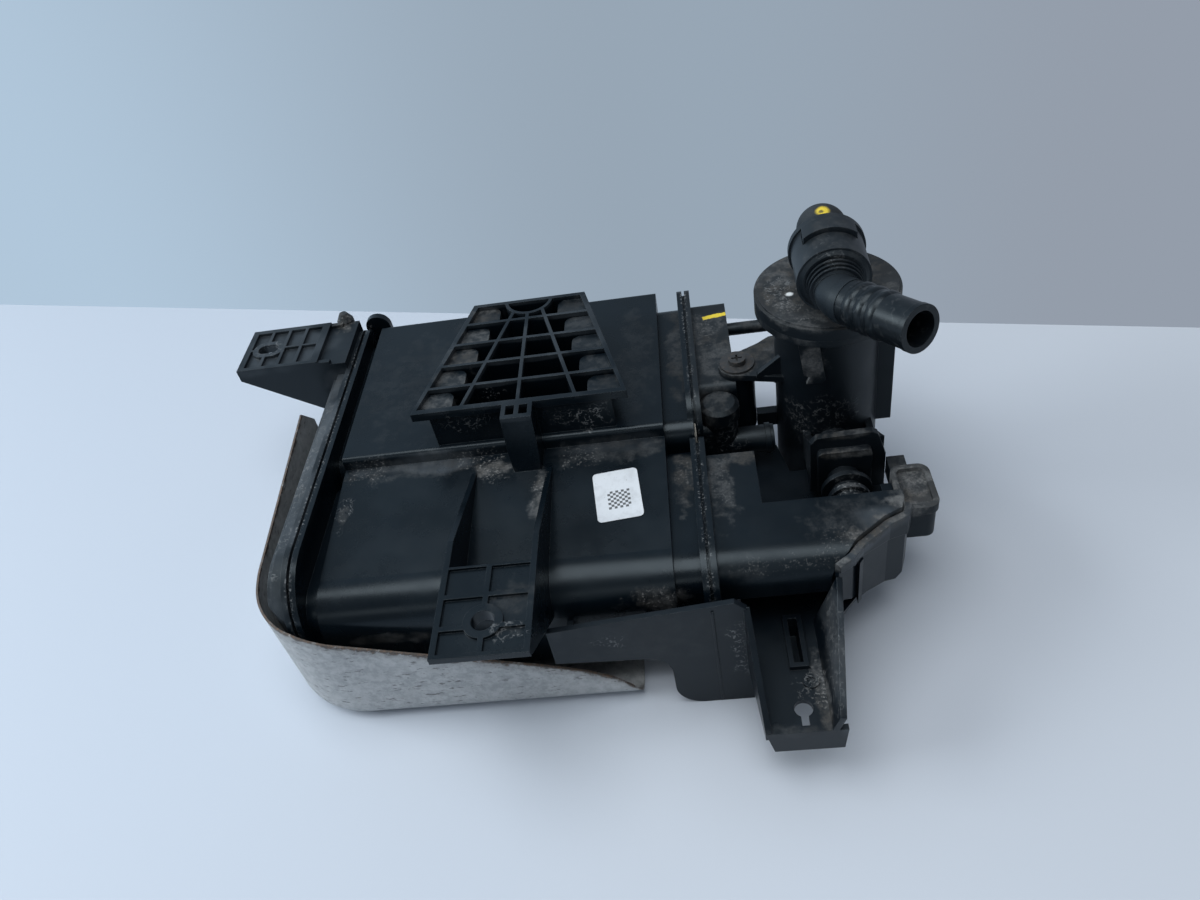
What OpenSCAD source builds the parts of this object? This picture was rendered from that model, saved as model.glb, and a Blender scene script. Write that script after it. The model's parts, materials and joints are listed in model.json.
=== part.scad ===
// Charcoal canister with fresh-air filter, closing valve, heat shield and lower guard.
// Sizes in millimetres. X runs along the canister, Y to its rear, Z up from the surface it stands on.

/* [Housing] */
// left end of the raised lobes
lobe_left = -108; // [-118:1:-90]
// right end of the raised lobes
lobe_right = 76.5; // [60:0.5:86]
// top of the rear lobe, the flat plateau
plateau_z = 97; // [85:1:110]
// front edge of the plateau
plateau_front = -9; // [-12:1:0]
// rear wall of the rear lobe
lobe_back = 121.5; // [110:0.5:130]
// front wall of the front lobe
lobe_front = -107; // [-112:1:-100]
// underside of both lobes
lobe_bottom = 8; // [6:1:14]
// top of the front lobe at its rear edge
front_lobe_z = 89; // [80:1:92]
// slope of the front lobe's top, degrees
front_lobe_slope = 5; // [0:0.5:8]
// radius along the front lobe's upper front edge
front_edge_r = 20; // [10:1:26]
// step from the lobes down to the necks
neck_step = 9; // [5:1:12]
// wall between a chamber and the outside of a neck
wall = 3; // [2:0.5:4]

/* [Weld flanges] */
// left face of the left flange pair's joint
left_joint = -119; // [-125:1:-114]
// right joint between the housing and the two covers
right_joint = 94; // [90:1:98]
// thickness of each flange
flange_t = 4; // [3:0.5:5]
// groove between the two flanges of a joint
groove = 0.8; // [0.4:0.1:1.5]
// top of the left flange
left_flange_z = 99; // [95:1:104]
// top of the front chamber's right flange
front_flange_z = 87; // [80:1:90]

/* [Chambers] */
// inner width of the rear chamber along Y
rear_chamber_w = 115; // [100:1:116]
// inner height of the rear chamber
rear_chamber_h = 70; // [60:1:72]
// inner width of the front chamber along Y
front_chamber_w = 84; // [70:1:86]
// inner height of the front chamber
front_chamber_h = 58; // [50:1:60]
// felt screen thickness
screen_t = 6; // [3:0.5:8]
// pressure plate thickness
plate_t = 4; // [3:0.5:6]
// room left for the coil springs behind the plates
spring_room = 44; // [30:1:50]
// wire diameter of the coil springs
spring_wire = 2; // [1.2:0.1:2.6]
// mean coil radius
spring_r = 11; // [8:0.5:14]

/* [Lattice pad] */
// top of the lattice pad above the surface
pad_z = 122.5; // [110:0.5:130]
// half width of the pad at the rear
pad_rear_half = 34; // [25:0.5:40]
// half width of the pad at the front
pad_front_half = 59; // [45:0.5:65]
// rear edge of the pad
pad_back = 92.5; // [80:0.5:100]
// front edge of the pad
pad_front = -5; // [-9:0.5:5]
// rib thickness
rib = 2; // [1.6:0.2:4]
// how far the rim reaches out over the pad's side walls
pad_overhang = 8; // [5:0.5:10]
// how far the blocks in the outer cells stay below the pad's top
block_drop = 3; // [2:0.5:8]
// length of those blocks
block_l = 10.5; // [8:0.5:14]
// radius of the half-round at the rear centre
pad_arc_r = 14; // [8:0.5:18]
// post width
post_w = 17; // [12:0.5:22]
// front face of the post
post_front = -18.5; // [-24:0.5:-14]

/* [Mounting arms] */
// top face of both mounting arms
arm_z = 107; // [100:0.5:114]
// bolt hole diameter in the front arm
arm_hole = 11; // [8:0.5:13]
// front arm bolt position along X
arm_hole_x = -9; // [-14:0.5:-4]
// front arm bolt position along Y
arm_hole_y = -138; // [-142:0.5:-130]
// front arm width
arm_w = 46; // [36:1:56]
// front edge of the front arm
arm_front = -157; // [-165:1:-150]
// rear edge of the front arm's plate
arm_plate_back = -105; // [-112:1:-100]
// left end of the rear arm
rear_arm_left = -194; // [-205:1:-180]
// rear arm front edge
rear_arm_front = 76; // [70:1:84]
// rear arm rear edge
rear_arm_back = 119; // [110:1:120]
// slot position along X in the rear arm
slot_x = -178; // [-184:0.5:-168]
// slot position along Y in the rear arm
slot_y = 97; // [90:0.5:104]
// slot width
slot_w = 9; // [7:0.5:11]
// slot length
slot_l = 14; // [10:0.5:18]

/* [Covers] */
// right face of the port block
block_right = 119.5; // [112:0.5:124]
// top of the port block
block_z = 91; // [86:0.5:93]
// purge nipple outer diameter
purge_d = 8; // [6:0.2:10]
// free end of the purge nipple
purge_end = 152; // [140:1:160]
// tank port outer diameter
tank_d = 20; // [16:0.2:21]
// top of the air duct
duct_z = 83; // [76:0.5:85]
// underside of the front part of the air duct
duct_low = 60; // [54:0.5:66]
// right end of the air duct
duct_right = 194; // [180:1:200]

/* [Air filter] */
// filter axis along X
can_x = 172; // [168:0.5:178]
// filter axis along Y
can_y = 36; // [30:0.5:42]
// outer radius of the filter can
can_r = 29; // [24:0.5:32]
// bottom of the filter can
can_low = 22; // [10:1:34]
// joint between can and lid
lid_joint = 136; // [120:0.5:140]
// outer radius of the lid
lid_r = 39; // [36:0.5:44]
// top of the lid
lid_z = 144; // [130:0.5:148]
// height of the elbow's axis
elbow_z = 168; // [158:0.5:175]
// elbow axis behind the can's axis
elbow_back = 18; // [12:0.5:22]
// elbow outer radius
elbow_r = 13.3; // [10:0.1:14]

/* [Connector and hose] */
// turn of the connector about the elbow, degrees
connector_turn = -2; // [-20:1:20]
// bend between the connector and its barb, degrees
barb_bend = 36; // [25:1:60]
// turn of the barb about the connector's axis, degrees
barb_roll = 16.5; // [0:0.5:30]
// radius of the connector's main collar
collar_r = 18.5; // [15:0.5:21]
// hose outer radius
hose_r = 11.2; // [10.5:0.1:13]
// hose bore radius
hose_bore = 8.4; // [7.8:0.1:9]
// length of the hose stub
hose_l = 43; // [36:1:50]

/* [Shield and guard] */
// outer face of the shield's left wall
shield_left = -150; // [-158:1:-146]
// outer face of the shield's front wall
shield_front = -117.5; // [-120:0.5:-115]
// right end of the shield
shield_right = 52; // [40:1:60]
// sheet thickness of the shield
sheet = 1.2; // [0.8:0.1:2]
// plan radius of the shield's front left corner
shield_r = 51; // [35:1:52]
// radius of the bend between the shield's walls and floor
shield_bend = 12; // [4:0.5:14]
// front face of the guard panel
panel_front = -122; // [-126:0.5:-121]
// guard wall thickness
guard_t = 3; // [2:0.5:4]
// top of the leg's floor
leg_z = 38; // [30:1:46]
// front edge of the leg
leg_front = -165.5; // [-170:0.5:-160]
// head diameter of the keyhole
key_d = 9; // [7:0.5:11]

/* [Hidden] */
$fn = 64;
fit = 0.2;
eps = 0.5;
black = [0.035, 0.042, 0.045];
grey_black = [0.07, 0.075, 0.078];
rubber_black = [0.025, 0.025, 0.027];
steel = [0.5, 0.5, 0.48];
shield_grey = [0.45, 0.44, 0.42];
carbon = [0.03, 0.03, 0.03];
felt = [0.55, 0.53, 0.48];

rear_neck_z = plateau_z - neck_step;
front_neck_z = front_lobe_z - neck_step;
rear_chamber_y = lobe_back - 7;
chamber_z = lobe_bottom + 6;
front_chamber_y = lobe_front + 7;
left_inner = left_joint - flange_t - 8;
plate_x = left_inner + spring_room;
bed_left = plate_x + plate_t + screen_t;
bed_right = right_joint - screen_t;
arm_left = arm_hole_x - arm_w / 2;
arm_right = arm_hole_x + arm_w / 2;
screw_x = 121.5;
screw_y = 39.5;
outlet_x = duct_right - 22;
outlet_z = 57;
outlet_r = 9;
tank_x = 108.5;
tank_y = 17;
duct_back = -61;
stud_r = 3;
stud_y = [-45, 25];
stud_z = 48;
left_flange_front = lobe_front - 2.5;
barb_start = 59.5;
bend_r = 16;
hose_start = 4;
edge_drop = front_edge_r * cos(front_lobe_slope);
ridge_y = plateau_front - 8;
tip_y = lobe_front + front_edge_r;
tip_start = tip_y - front_edge_r * sin(front_lobe_slope);
tip_z = front_lobe_z + (tip_start - ridge_y) * tan(front_lobe_slope) - edge_drop;

// S-shaped rim along the duct's cut-off corner, from the leg to the valve, and its offset to the inside
rim_path = [[154.5, -103.2], [162.3, -97.4], [167.5, -91], [duct_right - 11, -78.8],
    [duct_right - 1.4, -74.2], [duct_right + 1.3, -67.5]];
rim_last = len(rim_path) - 1;
function rim_run(i) = rim_path[min(i + 1, rim_last)] - rim_path[max(i - 1, 0)];
function rim_normal(i) = let (d = rim_run(i)) [-d[1], d[0]] / norm(d);
function rim_side(t) = [for (i = [0 : rim_last]) rim_path[i] + t * rim_normal(i)];

// Plain helpers
module slab(x0, x1, y0, y1, z0, z1) {
    translate([x0, y0, z0]) cube([x1 - x0, y1 - y0, z1 - z0]);
}

module along_x(x0, x1) {
    translate([x0, 0, 0]) rotate([90, 0, 90]) linear_extrude(x1 - x0) children();
}

module along_y(y0, y1) {
    translate([0, y1, 0]) rotate([90, 0, 0]) linear_extrude(y1 - y0) children();
}

module upright(x, y, z0, z1, r) {
    translate([x, y, z0]) cylinder(h = z1 - z0, r = r);
}

module round_rect(a0, a1, b0, b1, r) {
    translate([a0 + r, b0]) square([a1 - a0 - 2 * r, b1 - b0]);
    translate([a0, b0 + r]) square([a1 - a0, b1 - b0 - 2 * r]);
    for (a = [a0 + r, a1 - r], b = [b0 + r, b1 - r])
        translate([a, b]) circle(r);
}

// Outline with one radius at the front corners and another at the rear corners
module two_radius_rect(y0, y1, z0, z1, rf, rb) {
    translate([y0 + rf, z0]) square([y1 - rb - y0 - rf, z1 - z0]);
    translate([y0, z0 + rf]) square([rf + eps, z1 - z0 - 2 * rf]);
    translate([y1 - rb - eps, z0 + rb]) square([rb + eps, z1 - z0 - 2 * rb]);
    for (z = [z0 + rf, z1 - rf])
        translate([y0 + rf, z]) circle(rf);
    for (z = [z0 + rb, z1 - rb])
        translate([y1 - rb, z]) circle(rb);
}

// Housing outlines in the YZ plane
module rear_chamber_2d(gap = 0) {
    round_rect(rear_chamber_y - rear_chamber_w + gap, rear_chamber_y - gap, chamber_z + gap,
        chamber_z + rear_chamber_h - gap, 8);
}

module front_chamber_2d(gap = 0) {
    round_rect(front_chamber_y + gap, front_chamber_y + front_chamber_w - gap, chamber_z + gap,
        chamber_z + front_chamber_h - gap, 14);
}

module front_lobe_2d() {
    translate([tip_y, tip_z]) circle(front_edge_r);
    translate([tip_y, lobe_bottom + front_edge_r]) circle(front_edge_r);
    polygon([[plateau_front + 4, lobe_bottom], [plateau_front + 4, front_lobe_z], [ridge_y, front_lobe_z],
        [tip_y - front_edge_r * sin(front_lobe_slope), tip_z + edge_drop - 0.3], [tip_y, tip_z],
        [tip_y - front_edge_r, tip_z], [tip_y - front_edge_r, lobe_bottom + front_edge_r],
        [tip_y, lobe_bottom + front_edge_r], [tip_y, lobe_bottom]]);
}

module rear_flange_2d() {
    two_radius_rect(0.5, lobe_back + 3, 4, plateau_z, 20, 9);
}

module front_flange_2d() {
    two_radius_rect(lobe_front - 6, -7, 4, front_flange_z, 26, 6);
}

module left_flange_2d() {
    two_radius_rect(left_flange_front, lobe_back + 5, 4, left_flange_z, 34, 14);
}

// Lattice pad, drawn in plan
module trapezoid(front_half, rear_half, y0, y1) {
    polygon([[-front_half, y0], [front_half, y0], [rear_half, y1], [-rear_half, y1]]);
}

module strip(x0, y0, x1, y1, t) {
    l = sqrt(pow(x1 - x0, 2) + pow(y1 - y0, 2));
    translate([x0, y0]) rotate(atan2(y1 - y0, x1 - x0)) translate([0, -t / 2]) square([l, t]);
}

pad_taper = (pad_rear_half - pad_front_half) / (pad_back - pad_front);
function pad_half(y) = pad_front_half + pad_taper * (y - pad_front);
pad_rows = 5;
rim_h = 5;
pad_pitch = (pad_back - pad_front) / pad_rows;

// Ribs of the lattice, cut off at its sides by an inset
module pad_ribs_2d(inset) {
    difference() {
        trapezoid(pad_front_half - inset, pad_rear_half - inset, pad_front, pad_back);
        trapezoid(pad_front_half - inset - rib, pad_rear_half - inset - rib, pad_front + rib, pad_back - rib);
    }
    intersection() {
        trapezoid(pad_front_half - inset - 0.5, pad_rear_half - inset - 0.5, pad_front + 0.5, pad_back - 0.5);
        union() {
            for (i = [1 : pad_rows - 1])
                translate([-70, pad_front + i * pad_pitch - rib / 2]) square([140, rib]);
            translate([-rib / 2, pad_front]) square([rib, pad_back - pad_front - pad_arc_r + 1]);
            strip(-32, pad_front, -9, pad_back - pad_arc_r + 2, rib);
            strip(32, pad_front, 9, pad_back - pad_arc_r + 2, rib);
            translate([0, pad_back]) circle(pad_arc_r + rib / 2);
        }
    }
}

module pad_ribs() {
    difference() {
        union() {
            translate([0, 0, plateau_z - 1]) linear_extrude(pad_z - plateau_z - rim_h + 2)
                pad_ribs_2d(pad_overhang);
            translate([0, 0, pad_z - rim_h]) linear_extrude(rim_h) pad_ribs_2d(0);
        }
        pad_scoop(plateau_z + 4);
    }
}

// Half-round pocket behind the lattice's last rib, closed by the rear bar
module pad_scoop(z) {
    intersection() {
        upright(0, pad_back, z, pad_z + 1, pad_arc_r - rib / 2);
        slab(-pad_arc_r, pad_arc_r, 0, pad_back - rib, z - 1, pad_z + 2);
    }
}

module pad_rim() {
    difference() {
        translate([0, 0, pad_z - rim_h]) linear_extrude(rim_h)
            trapezoid(pad_front_half + 1, pad_rear_half + 0.8, pad_front - 1.5, pad_back + 0.6);
        translate([0, 0, pad_z - rim_h - 1]) linear_extrude(rim_h + 2)
            trapezoid(pad_front_half - 1, pad_rear_half - 1, pad_front + 1, pad_back - 1.2);
        pad_scoop(pad_z - rim_h - 1);
    }
}

// Blocks that close the outer cells of the lattice, round at their inner ends
module pad_blocks() {
    half_w = pad_pitch / 2 - rib / 2 - 0.6;
    intersection() {
        translate([0, 0, plateau_z - 1]) linear_extrude(pad_z - block_drop - plateau_z + 1)
            for (i = [0 : pad_rows - 1], s = [-1, 1])
                let (y = pad_front + (i + 0.5) * pad_pitch, x = s * (pad_half(y) - pad_overhang))
                    translate([x, y]) round_rect(s > 0 ? -block_l : -9, s > 0 ? 9 : block_l, -half_w, half_w, 5);
        union() {
            translate([0, 0, plateau_z - 2]) linear_extrude(pad_z - plateau_z)
                trapezoid(pad_front_half - pad_overhang - 0.7, pad_rear_half - pad_overhang - 0.7,
                    pad_front + 1, pad_back - 1);
            translate([0, 0, pad_z - rim_h + 0.7]) linear_extrude(rim_h)
                trapezoid(pad_front_half - 0.4, pad_rear_half - 0.4, pad_front + 1, pad_back - 1);
        }
    }
}

module post() {
    base = front_lobe_z - 6;
    foot = 7;
    difference() {
        intersection() {
            translate([0, 0, base]) linear_extrude(pad_z - base)
                round_rect(-post_w / 2, post_w / 2, post_front - foot, pad_front + 5, 4);
            along_x(-post_w, post_w) polygon([[post_front - foot, base], [pad_front + 1, base],
                [pad_front + 1, pad_z], [post_front, pad_z]]);
        }
        for (s = [-1, 1])
            slab(s * 3.7 - 2.4, s * 3.7 + 2.4, post_front + 3, pad_front - 3, pad_z - 14, pad_z + 1);
    }
}

// Front arm: plate with shallow pockets, two gussets and a front skirt
module front_arm() {
    rows = [arm_plate_back, -123, -141, arm_front + 1];
    plate = 3.5;
    difference() {
        slab(arm_left, arm_right, arm_front, arm_plate_back, arm_z - plate, arm_z);
        for (i = [0 : 2], s = [-1, 1])
            slab(arm_hole_x + (s < 0 ? 3 - arm_w / 2 : 1.3), arm_hole_x + (s < 0 ? -1.3 : arm_w / 2 - 3),
                rows[i + 1] + 1.3, rows[i] - 1.3, arm_z - 1.6, arm_z + 1);
    }
    upright(arm_hole_x, arm_hole_y, arm_z - 7, arm_z, arm_hole / 2 + 4);
    for (x = [arm_left, arm_right - 3])
        along_x(x, x + 3) polygon([[arm_front, arm_z], [arm_front, arm_z - plate],
            [lobe_front + 2, 62], [-98, 62],
            [-98, 78], [-17, 80], [-17, front_lobe_z - 2], [-88, arm_z]]);
}

// Rounded lug behind the left flange
module rear_lug() {
    lug_x = -113;
    lug_r = 8.5;
    difference() {
        along_y(lobe_back + 4.5, lobe_back + 9) {
            translate([lug_x, 93.5]) circle(lug_r);
            translate([lug_x - lug_r, 70]) square([2 * lug_r, 23.5]);
        }
        slab(lug_x - 20, left_joint + 0.3, lobe_back, lobe_back + 5.4, 60, 120);
    }
}

module feet() {
    for (x = [-85, 45], y = [-70, 80])
        upright(x, y, sheet, lobe_bottom + 1, 9);
}

// 1 housing
module housing() color(black) {
    difference() {
        union() {
            along_x(left_joint + 1, right_joint - 1) {
                round_rect(-5, lobe_back - 4, lobe_bottom, rear_neck_z, 10);
                round_rect(lobe_front + 4, -5, lobe_bottom, front_neck_z, 16);
                translate([-20, lobe_bottom]) square([40, front_neck_z - lobe_bottom - 14]);
            }
            along_x(lobe_left, lobe_right) round_rect(plateau_front, lobe_back, lobe_bottom, plateau_z, 3);
            along_x(lobe_left, lobe_right) front_lobe_2d();
            along_x(left_joint + groove, left_joint + flange_t) left_flange_2d();
            along_x(right_joint - flange_t, right_joint - groove) rear_flange_2d();
            along_x(right_joint - flange_t, right_joint - groove) front_flange_2d();
            along_x(left_joint, left_joint + 2) offset_ring_left();
            along_x(right_joint - 2, right_joint) offset_ring_right();
            pad_ribs();
            pad_rim();
            pad_blocks();
            post();
            front_arm();
            rear_lug();
            feet();
        }
        along_x(left_joint - 1, right_joint + 1) rear_chamber_2d();
        along_x(left_joint - 1, right_joint + 1) front_chamber_2d();
        upright(arm_hole_x, arm_hole_y, arm_z - 20, arm_z + 1, arm_hole / 2);
    }
}

// Weld faces inside the flange groove
module offset_ring_left() {
    two_radius_rect(left_flange_front + 3, lobe_back + 2, 7, left_flange_z - 3, 31, 11);
}

module offset_ring_right() {
    two_radius_rect(3.5, lobe_back, 7, plateau_z - 3, 17, 6);
    two_radius_rect(lobe_front - 3, -10, 7, front_flange_z - 3, 23, 3);
}

// 2 left end cover with the rear mounting arm and the shield studs
module rear_arm() {
    cols = 4;
    pitch = (-141 - rear_arm_left - 6) / cols;
    difference() {
        slab(rear_arm_left, -140, rear_arm_front, rear_arm_back, arm_z - 6, arm_z);
        for (i = [0 : cols - 1], j = [0, 1])
            slab(rear_arm_left + 4 + i * pitch, rear_arm_left + 2 + (i + 1) * pitch,
                rear_arm_front + 3 + j * 19, rear_arm_front + 20.5 + j * 19, arm_z - 2, arm_z + 1);
    }
    translate([slot_x, slot_y, arm_z - 6]) linear_extrude(6)
        round_rect(-slot_l / 2 - 3.5, slot_l / 2 + 3.5, -slot_w / 2 - 3.5, slot_w / 2 + 3.5, 7.5);
    for (y = [rear_arm_front, rear_arm_back - 3])
        along_y(y, y + 3) polygon([[rear_arm_left, arm_z - 1], [rear_arm_left, arm_z - 8],
            [-150, arm_z - 37], [-132, arm_z - 50], [-132, arm_z - 1]]);
    slab(-141, left_joint - flange_t + 1, rear_arm_front, lobe_back, left_flange_z - 8, arm_z - 3);
}

module left_cap() color(black) {
    cap_left = left_inner - wall;
    difference() {
        union() {
            along_x(left_joint - flange_t, left_joint - groove) left_flange_2d();
            along_x(left_joint - 2, left_joint) offset_ring_left();
            intersection() {
                union() {
                    along_x(cap_left + 4, left_joint - 2)
                        two_radius_rect(lobe_front, lobe_back, 9, left_flange_z - 4, 32, 12);
                    along_x(cap_left, cap_left + 5)
                        two_radius_rect(lobe_front + 4, lobe_back - 4, 13, left_flange_z - 8, 28, 9);
                }
                linear_extrude(120) shield_plan(5);
            }
            rear_arm();
            upright(-132, lobe_back + 2, 82, arm_z - 2, 5.5);
            translate([-132, lobe_back + 2, arm_z - 2]) cylinder(h = 5, r1 = 5.5, r2 = 2.5);
            for (y = stud_y)
                translate([shield_left + sheet, y, stud_z]) rotate([0, 90, 0])
                    cylinder(h = cap_left - shield_left, r = 8);
            for (y = stud_y)
                translate([shield_left - 4, y, stud_z]) rotate([0, 90, 0])
                    cylinder(h = cap_left - shield_left + 5, r = stud_r);
        }
        intersection() {
            along_x(left_inner, left_joint + 1)
                two_radius_rect(front_chamber_y, rear_chamber_y, chamber_z, chamber_z + rear_chamber_h, 24, 8);
            linear_extrude(120) shield_plan(5 + wall);
        }
        translate([slot_x, slot_y, arm_z - 10]) linear_extrude(12)
            round_rect(-slot_l / 2, slot_l / 2, -slot_w / 2, slot_w / 2, slot_w / 2 - 0.01);
    }
}

// 3 rear chamber cover with the port block and two ports
module port_cover() color(black) {
    difference() {
        union() {
            along_x(right_joint + groove, right_joint + flange_t) rear_flange_2d();
            along_x(right_joint, right_joint + 2)
                two_radius_rect(3.5, lobe_back, 7, plateau_z - 3, 17, 6);
            along_x(right_joint + 2, block_right) round_rect(26, 111, 20, block_z, 5);
            along_x(right_joint + 2, block_right - 9) round_rect(8, 60, 18, block_z - 16, 6);
            upright(screw_x, screw_y, 50, block_z, 9.5);
            translate([block_right - 2, 94, 80]) rotate([0, 90, 0])
                cylinder(h = purge_end - block_right + 2, r = purge_d / 2);
            translate([purge_end - 5, 94, 80]) rotate([0, 90, 0]) cylinder(h = 3, r = purge_d / 2 + 1.2);
            upright(tank_x, tank_y, 28, 79, tank_d / 2);
            upright(tank_x, tank_y, 77, 85, tank_d / 2 + 1.3);
            translate([tank_x, tank_y, 85]) cylinder(h = 2, r1 = tank_d / 2 + 1.3, r2 = tank_d / 2 - 1);
            translate([tank_x, tank_y - 2, 57]) rotate([0, 90, 0]) cylinder(h = 30, r = 8);
            translate([tank_x + 25, tank_y - 2, 57]) rotate([0, 90, 0]) cylinder(h = 3, r = 9);
        }
        along_x(right_joint + flange_t, block_right - wall) round_rect(29, 108, 23, block_z - 3, 4);
        for (y = [35 : 17 : 103], z = [30, 52, 74])
            translate([right_joint - 1, y, z]) rotate([0, 90, 0]) cylinder(h = 8, r = 5);
        translate([block_right - 5, 94, 80]) rotate([0, 90, 0]) cylinder(h = purge_end, r = purge_d / 2 - 1.5);
        upright(tank_x, tank_y, 31, 76, tank_d / 2 - 2.5);
        translate([tank_x, tank_y - 2, 57]) rotate([0, 90, 0]) cylinder(h = 40, r = 5.5);
        translate([tank_x, tank_y, 40]) rotate([-90, 0, 0]) cylinder(h = 20, r = 5);
        upright(screw_x, screw_y, 70, block_z + 1, 2.5);
    }
}

// 4 front chamber cover with the flat air duct
module duct_plan(inset) {
    polygon(concat([[right_joint + 1 + inset, -103 + inset], [152 - inset, -103 + inset]],
        rim_side(1.7 + inset),
        [[duct_right - inset, -64.5], [duct_right - inset, duct_back - inset],
        [124 - inset, duct_back - inset],
        [124 - inset, -22 - inset], [right_joint + 1 + inset, -22 - inset]]));
}

module duct_profile(inset) {
    r = 15 - inset;
    translate([-88, duct_z - 15]) circle(r);
    polygon([[-20 - inset, duct_low + inset], [-20 - inset, duct_z - inset], [-88, duct_z - inset],
        [-88, duct_z - 15], [-88 - r, duct_z - 15], [-88 - r, duct_low + inset]]);
    translate([-84 + inset, outlet_z - 15 + inset]) square([84 + duct_back - 2 * inset, 20]);
}

module drain_cover() color(black) {
    difference() {
        union() {
            along_x(right_joint + groove, right_joint + flange_t) front_flange_2d();
            along_x(right_joint, right_joint + 2)
                two_radius_rect(lobe_front - 3, -10, 7, front_flange_z - 3, 23, 3);
            along_x(right_joint + 2, right_joint + 12) round_rect(lobe_front + 4, -16, 14, 70, 18);
            intersection() {
                translate([0, 0, 20]) linear_extrude(80) duct_plan(0);
                along_x(right_joint + 1, duct_right + 1) duct_profile(0);
            }
            translate([outlet_x, duct_back + 8, outlet_z]) rotate([90, 0, 0]) cylinder(h = 9, r = 14.5);
            translate([outlet_x, duct_back + 3, outlet_z]) rotate([90, 0, 0]) cylinder(h = 4, r = 17.5);
            slab(duct_right - 13, duct_right, duct_back - 1, -53, 48, 66);
            slab(duct_right - 6, duct_right, -54, -40, 48, 66);
        }
        intersection() {
            translate([0, 0, 20]) linear_extrude(80) duct_plan(2.5);
            along_x(right_joint + flange_t, duct_right + 1) duct_profile(2.5);
        }
        translate([outlet_x, duct_back + 9, outlet_z]) rotate([90, 0, 0]) cylinder(h = 14, r = outlet_r + 2);
        for (y = [-90 : 18 : -30], z = [28, 48])
            translate([right_joint - 1, y, z]) rotate([0, 90, 0]) cylinder(h = 6, r = 5);
        along_x(right_joint + flange_t, right_joint + 9) round_rect(lobe_front + 8, -20, 18, 66, 14);
    }
}

// 5 to 11 what the two chambers hold
module rear_carbon_bed() color(carbon) along_x(bed_left, bed_right) rear_chamber_2d(fit);

module front_carbon_bed() color(carbon) along_x(bed_left, bed_right) front_chamber_2d(fit);

module rear_screens() color(felt) {
    along_x(bed_left - screen_t, bed_left) rear_chamber_2d(fit);
    along_x(bed_right, bed_right + screen_t) rear_chamber_2d(fit);
}

module front_screens() color(felt) {
    along_x(bed_left - screen_t, bed_left) front_chamber_2d(fit);
    along_x(bed_right, bed_right + screen_t) front_chamber_2d(fit);
}

module rear_pressure_plate() color(grey_black) difference() {
    along_x(plate_x, plate_x + plate_t) rear_chamber_2d(fit);
    for (y = [10 : 16 : 106], z = [24 : 13 : 76])
        translate([plate_x - 1, y, z]) rotate([0, 90, 0]) cylinder(h = plate_t + 2, r = 3);
}

module front_pressure_plate() color(grey_black) difference() {
    along_x(plate_x, plate_x + plate_t) front_chamber_2d(fit);
    for (y = [-90 : 16 : -26], z = [23 : 13 : 62])
        translate([plate_x - 1, y, z]) rotate([0, 90, 0]) cylinder(h = plate_t + 2, r = 3);
}

// One coil spring along +X, drawn as a swept hexagon
module coil(l, r, wire, turns) {
    steps = turns * 18;
    sides = 6;
    lead = (l - wire) / turns;
    pts = [for (i = [0 : steps], k = [0 : sides - 1])
        let (a = i * 360 / 18, q = k * 360 / sides, rr = r + wire / 2 * cos(q))
        [wire / 2 + lead * a / 360 + wire / 2 * sin(q), rr * cos(a), rr * sin(a)]];
    side_faces = [for (i = [0 : steps - 1], k = [0 : sides - 1])
        [i * sides + k, (i + 1) * sides + k, (i + 1) * sides + (k + 1) % sides, i * sides + (k + 1) % sides]];
    first = [for (k = [0 : sides - 1]) k];
    last = [for (k = [0 : sides - 1]) steps * sides + sides - 1 - k];
    polyhedron(pts, concat(side_faces, [first, last]));
}

module bed_springs() color(steel) {
    for (p = [[25, 49], [85, 49], [-69, 43], [-38, 43]])
        translate([left_inner, p[0], p[1]]) coil(plate_x - left_inner, spring_r, spring_wire, 5);
}

// 12 heat shield: floor, left wall and front wall bent from one sheet
module shield_plan(inset) {
    r = shield_r - inset;
    x0 = shield_left + inset;
    y0 = shield_front + inset;
    translate([x0 + r, y0 + r]) circle(r);
    translate([x0 + r, y0]) square([shield_right - x0 - r, 300]);
    translate([x0, y0 + r]) square([r + 1, 300 - r]);
}

// Section of a shield wall and its bend, u running inwards from the outer face
module shield_section() {
    translate([0, shield_bend]) square([sheet, 95 - shield_bend]);
    translate([shield_bend, 0]) square([4, sheet]);
    intersection() {
        difference() {
            translate([shield_bend, shield_bend]) circle(shield_bend);
            translate([shield_bend, shield_bend]) circle(shield_bend - sheet);
        }
        square(shield_bend);
    }
}

module shield_walls() {
    corner_x = shield_left + shield_r;
    corner_y = shield_front + shield_r;
    translate([corner_x, shield_front, 0]) along_x(0, shield_right - corner_x) shield_section();
    translate([shield_left, 0, 0]) along_y(corner_y, 60) shield_section();
    translate([corner_x, corner_y, 0]) rotate([0, 0, 180]) rotate_extrude(angle = 90)
        translate([shield_r, 0]) mirror([1, 0]) shield_section();
}

module heat_shield() color(shield_grey) difference() {
    union() {
        intersection() {
            linear_extrude(sheet) shield_plan(shield_bend + 2);
            slab(-200, shield_right, -200, lobe_back - 8, -1, 10);
        }
        intersection() {
            shield_walls();
            along_x(-200, 200) polygon([[-200, 0], [48, 0], [58, 60], [58, 76], [46, 90],
                [-76, 75], [-200, 75]]);
            along_y(-200, 200) polygon([[-200, 0], [shield_right, 0], [shield_right, 4], [47, 13],
                [38, 22], [24, 30],
                [5, 37], [-60, 57], [-108, 72], [-122, 75.5], [-140, 95], [-200, 95]]);
        }
    }
    for (y = stud_y)
        translate([shield_left - 1, y, stud_z]) rotate([0, 90, 0]) cylinder(h = 4, r = stud_r + 0.3);
}

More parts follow.
